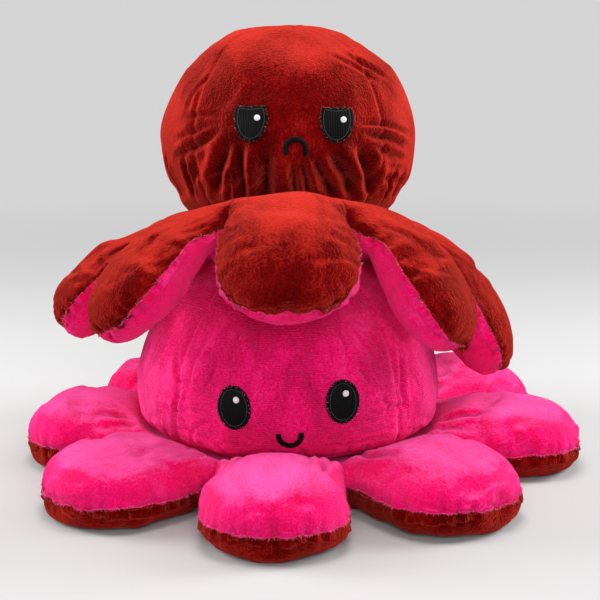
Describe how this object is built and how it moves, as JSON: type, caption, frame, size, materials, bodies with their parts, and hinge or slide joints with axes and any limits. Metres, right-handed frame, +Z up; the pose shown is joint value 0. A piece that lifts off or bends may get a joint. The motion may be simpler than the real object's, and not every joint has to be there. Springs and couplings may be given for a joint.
{
  "type": "reversible plush octopus pair",
  "caption": "Two stacked reversible plush octopuses, one smiling and one frowning, with bending tentacles and a hand pouch.",
  "frame": {"origin": "on the floor under the middle of the pair's bounding box", "axes": "+Z up, -Y the way both faces look, +X to the right in the front view"},
  "size_m": [0.4177, 0.4233, 0.3284],
  "materials": {
    "pink_velour": "short brushed pile",
    "red_velour": "short brushed pile",
    "black_thread": "satin stitch",
    "fibre_filling": "loose fibre"
  },
  "bodies": {
    "pink_body": {"pink_head_front_panel": "pink_velour", "pink_head_right_panel": "pink_velour", "pink_head_back_panel": "pink_velour", "pink_head_left_panel": "pink_velour", "pink_head_filling": "fibre_filling", "pink_head_lining": "red_velour", "pink_skirt_top": "pink_velour", "pink_skirt_sole": "red_velour", "pink_left_eye": "black_thread", "pink_hidden_left_eye": "black_thread", "pink_right_eye": "black_thread", "pink_hidden_right_eye": "black_thread", "pink_mouth": "black_thread", "pink_hidden_mouth": "black_thread"},
    "pink_tentacle_front": {"pink_tentacle_front_top": "pink_velour", "pink_tentacle_front_sole": "red_velour"},
    "pink_tentacle_front_right": {"pink_tentacle_front_right_top": "pink_velour", "pink_tentacle_front_right_sole": "red_velour"},
    "pink_tentacle_right": {"pink_tentacle_right_top": "pink_velour", "pink_tentacle_right_sole": "red_velour"},
    "pink_tentacle_back_right": {"pink_tentacle_back_right_top": "pink_velour", "pink_tentacle_back_right_sole": "red_velour"},
    "pink_tentacle_back": {"pink_tentacle_back_top": "pink_velour", "pink_tentacle_back_sole": "red_velour"},
    "pink_tentacle_back_left": {"pink_tentacle_back_left_top": "pink_velour", "pink_tentacle_back_left_sole": "red_velour"},
    "pink_tentacle_left": {"pink_tentacle_left_top": "pink_velour", "pink_tentacle_left_sole": "red_velour"},
    "pink_tentacle_front_left": {"pink_tentacle_front_left_top": "pink_velour", "pink_tentacle_front_left_sole": "red_velour"},
    "red_body": {"red_head_front_panel": "red_velour", "red_head_right_panel": "red_velour", "red_head_back_panel": "red_velour", "red_head_left_panel": "red_velour", "red_head_filling": "fibre_filling", "red_head_lining": "pink_velour", "red_skirt_top": "red_velour", "red_skirt_sole": "pink_velour", "red_left_eye": "black_thread", "red_hidden_left_eye": "black_thread", "red_right_eye": "black_thread", "red_hidden_right_eye": "black_thread", "red_mouth": "black_thread", "red_hidden_mouth": "black_thread"},
    "red_tentacle_front": {"red_tentacle_front_top": "red_velour", "red_tentacle_front_sole": "pink_velour"},
    "red_tentacle_front_right": {"red_tentacle_front_right_top": "red_velour", "red_tentacle_front_right_sole": "pink_velour"},
    "red_tentacle_right": {"red_tentacle_right_top": "red_velour", "red_tentacle_right_sole": "pink_velour"},
    "red_tentacle_back_right": {"red_tentacle_back_right_top": "red_velour", "red_tentacle_back_right_sole": "pink_velour"},
    "red_tentacle_back": {"red_tentacle_back_top": "red_velour", "red_tentacle_back_sole": "pink_velour"},
    "red_tentacle_back_left": {"red_tentacle_back_left_top": "red_velour", "red_tentacle_back_left_sole": "pink_velour"},
    "red_tentacle_left": {"red_tentacle_left_top": "red_velour", "red_tentacle_left_sole": "pink_velour"},
    "red_tentacle_front_left": {"red_tentacle_front_left_top": "red_velour", "red_tentacle_front_left_sole": "pink_velour"}
  },
  "joints": [
    {"name": "red_lift", "type": "slide", "parent": "pink_body", "child": "red_body", "axis": [0, 0, 1], "range_m": [0, 0.16]},
    {"name": "pink_front_bend", "type": "hinge", "parent": "pink_body", "child": "pink_tentacle_front", "pos_m": [-0.01638, -0.11964, 0.0195], "axis": [-0.9986, 0.0523, 0], "range_deg": [-35, 34], "stiffness_Nm_per_rad": 0.4},
    {"name": "pink_front_right_bend", "type": "hinge", "parent": "pink_body", "child": "pink_tentacle_front_right", "pos_m": [0.06876, -0.08949, 0.0195], "axis": [-0.7431, -0.6691, 0], "range_deg": [-35, 30], "stiffness_Nm_per_rad": 0.4},
    {"name": "pink_right_bend", "type": "hinge", "parent": "pink_body", "child": "pink_tentacle_right", "pos_m": [0.10776, -0.00489, 0.0195], "axis": [-0.0262, -0.9997, 0], "range_deg": [-35, 20], "stiffness_Nm_per_rad": 0.4},
    {"name": "pink_back_right_bend", "type": "hinge", "parent": "pink_body", "child": "pink_tentacle_back_right", "pos_m": [0.07749, 0.07716, 0.0195], "axis": [0.6691, -0.7431, 0], "range_deg": [-35, 21], "stiffness_Nm_per_rad": 0.4},
    {"name": "pink_back_bend", "type": "hinge", "parent": "pink_body", "child": "pink_tentacle_back", "pos_m": [-0.00197, 0.11591, 0.0195], "axis": [0.9976, -0.0698, 0], "range_deg": [-35, 30], "stiffness_Nm_per_rad": 0.4},
    {"name": "pink_back_left_bend", "type": "hinge", "parent": "pink_body", "child": "pink_tentacle_back_left", "pos_m": [-0.08839, 0.08658, 0.0195], "axis": [0.749, 0.6626, 0], "range_deg": [-35, 28], "stiffness_Nm_per_rad": 0.4},
    {"name": "pink_left_bend", "type": "hinge", "parent": "pink_body", "child": "pink_tentacle_left", "pos_m": [-0.12791, 0.00643, 0.0195], "axis": [0.0698, 0.9976, 0], "range_deg": [-35, 34], "stiffness_Nm_per_rad": 0.4},
    {"name": "pink_front_left_bend", "type": "hinge", "parent": "pink_body", "child": "pink_tentacle_front_left", "pos_m": [-0.09789, -0.08076, 0.0195], "axis": [-0.6691, 0.7431, 0], "range_deg": [-35, 30], "stiffness_Nm_per_rad": 0.4},
    {"name": "red_front_bend", "type": "hinge", "parent": "red_body", "child": "red_tentacle_front", "pos_m": [-0.0102, -0.07852, 0.20602], "axis": [-1, 0, 0], "range_deg": [-15, 55], "stiffness_Nm_per_rad": 0.4, "springref_deg": 1.03},
    {"name": "red_front_right_bend", "type": "hinge", "parent": "red_body", "child": "red_tentacle_front_right", "pos_m": [0.06122, -0.05147, 0.18906], "axis": [-0.7071, -0.6964, 0.1228], "range_deg": [-10, 55], "stiffness_Nm_per_rad": 0.4, "springref_deg": 1.03},
    {"name": "red_right_bend", "type": "hinge", "parent": "red_body", "child": "red_tentacle_right", "pos_m": [0.0908, 0.01678, 0.16484], "axis": [0, -0.9848, 0.1736], "range_deg": [-5, 55], "stiffness_Nm_per_rad": 0.4, "springref_deg": 1.03},
    {"name": "red_back_right_bend", "type": "hinge", "parent": "red_body", "child": "red_tentacle_back_right", "pos_m": [0.06122, 0.08919, 0.16426], "axis": [0.7071, -0.6964, 0.1228], "range_deg": [-12, 55], "stiffness_Nm_per_rad": 0.4, "springref_deg": 1.03},
    {"name": "red_back_bend", "type": "hinge", "parent": "red_body", "child": "red_tentacle_back", "pos_m": [-0.0102, 0.12041, 0.17094], "axis": [1, 0, 0], "range_deg": [-14, 55], "stiffness_Nm_per_rad": 0.4, "springref_deg": 1.03},
    {"name": "red_back_left_bend", "type": "hinge", "parent": "red_body", "child": "red_tentacle_back_left", "pos_m": [-0.08162, 0.08919, 0.16426], "axis": [0.7071, 0.6964, -0.1228], "range_deg": [-16, 55], "stiffness_Nm_per_rad": 0.4, "springref_deg": 1.03},
    {"name": "red_left_bend", "type": "hinge", "parent": "red_body", "child": "red_tentacle_left", "pos_m": [-0.1112, 0.01678, 0.16484], "axis": [0, 0.9848, -0.1736], "range_deg": [-17, 55], "stiffness_Nm_per_rad": 0.4, "springref_deg": 1.03},
    {"name": "red_front_left_bend", "type": "hinge", "parent": "red_body", "child": "red_tentacle_front_left", "pos_m": [-0.08162, -0.05147, 0.18906], "axis": [-0.7071, 0.6964, -0.1228], "range_deg": [-15, 55], "stiffness_Nm_per_rad": 0.4, "springref_deg": 1.03}
  ]
}
